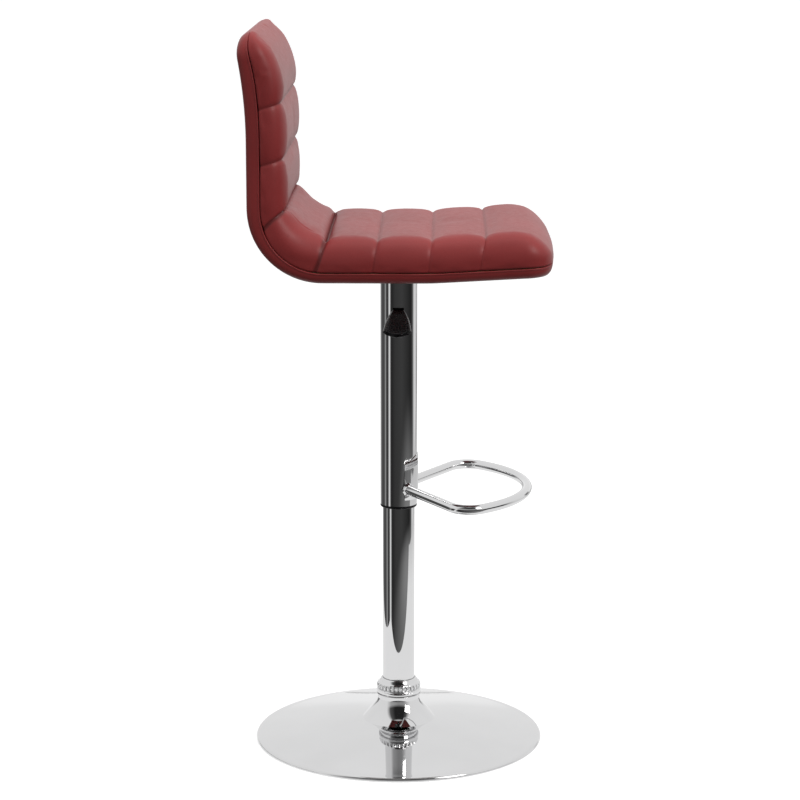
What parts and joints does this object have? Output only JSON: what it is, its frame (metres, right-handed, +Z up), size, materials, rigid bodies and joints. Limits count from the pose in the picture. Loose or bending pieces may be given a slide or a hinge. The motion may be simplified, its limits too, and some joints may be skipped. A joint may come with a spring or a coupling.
{
  "type": "adjustable swivel stool",
  "caption": "Height-adjustable swivel stool: padded L-shaped seat and back on a chromed gas-lift column, with a looped footrest, lift lever and round disc base.",
  "frame": {"origin": "on the floor under the column's axis, at the middle of the disc base", "axes": "+Z up along the column; the sitter faces -Y; the lift lever is on the sitter's right, towards -X"},
  "size_m": [0.45, 0.4678, 1.1219],
  "materials": {
    "chrome": "polished chrome plate",
    "plain_steel": "plain machined steel",
    "zinc_fastener": "bright zinc plate",
    "black_paint": "satin black paint",
    "gloss_black_plastic": "gloss moulded",
    "matt_black_plastic": "matt moulded",
    "rubber": "matt rubber",
    "burgundy_vinyl": "fine-grained upholstery vinyl, soft sheen",
    "foam": "open-cell foam",
    "plywood": "bent beech plywood"
  },
  "bodies": {
    "base": {"base_plate": "chrome", "base_foot_ring": "rubber", "weight_plate": "plain_steel", "hub_socket": "plain_steel", "column_collar": "chrome", "column_tube": "chrome", "column_end_plate": "plain_steel", "column_guide_bush": "matt_black_plastic", "bearing_lower_washer": "zinc_fastener", "thrust_bearing": "plain_steel"},
    "spindle": {"bearing_upper_washer": "zinc_fastener", "bump_stop": "rubber", "piston_rod": "chrome", "rod_washer": "zinc_fastener", "rod_clip": "zinc_fastener", "gas_piston": "plain_steel"},
    "carriage": {"gas_cylinder": "black_paint", "cylinder_gland": "matt_black_plastic", "cover_tube": "chrome", "tube_bushing": "matt_black_plastic", "taper_sleeve": "plain_steel", "lever_bracket": "plain_steel", "lever_pin": "zinc_fastener", "footrest_bracket": "chrome", "footrest_ring": "chrome", "seat_plate": "black_paint", "seat_bolt_1": "zinc_fastener", "seat_bolt_2": "zinc_fastener", "seat_bolt_3": "zinc_fastener", "seat_bolt_4": "zinc_fastener", "seat_washer_1": "zinc_fastener", "seat_washer_2": "zinc_fastener", "seat_washer_3": "zinc_fastener", "seat_washer_4": "zinc_fastener", "t_nut_1": "zinc_fastener", "t_nut_2": "zinc_fastener", "t_nut_3": "zinc_fastener", "t_nut_4": "zinc_fastener", "rear_cover": "burgundy_vinyl", "rear_padding": "foam", "plywood_shell": "plywood", "seat_foam": "foam", "front_cover": "burgundy_vinyl"},
    "lever": {"lever_arm": "zinc_fastener", "lever_grip": "gloss_black_plastic"},
    "valve": {"valve_pin": "zinc_fastener"}
  },
  "joints": [
    {"name": "swivel", "type": "hinge", "parent": "base", "child": "spindle", "pos_m": [0, 0, 0.0391], "axis": [0, 0, 1], "continuous": true},
    {"name": "lift", "type": "slide", "parent": "spindle", "child": "carriage", "axis": [0, 0, 1], "range_m": [-0.215, 0]},
    {"name": "lever_pull", "type": "hinge", "parent": "carriage", "child": "lever", "pos_m": [-0.019, 0, 0.685], "axis": [0, 1, 0], "range_deg": [0, 10], "stiffness_Nm_per_rad": 8, "springref_deg": -2.86},
    {"name": "valve_press", "type": "slide", "parent": "carriage", "child": "valve", "axis": [0, 0, 1], "range_m": [-0.0045, 0]}
  ],
  "couplings": [
    {"joint": "valve_press", "follows": "lever_pull", "m_per_rad": -0.024}
  ]
}
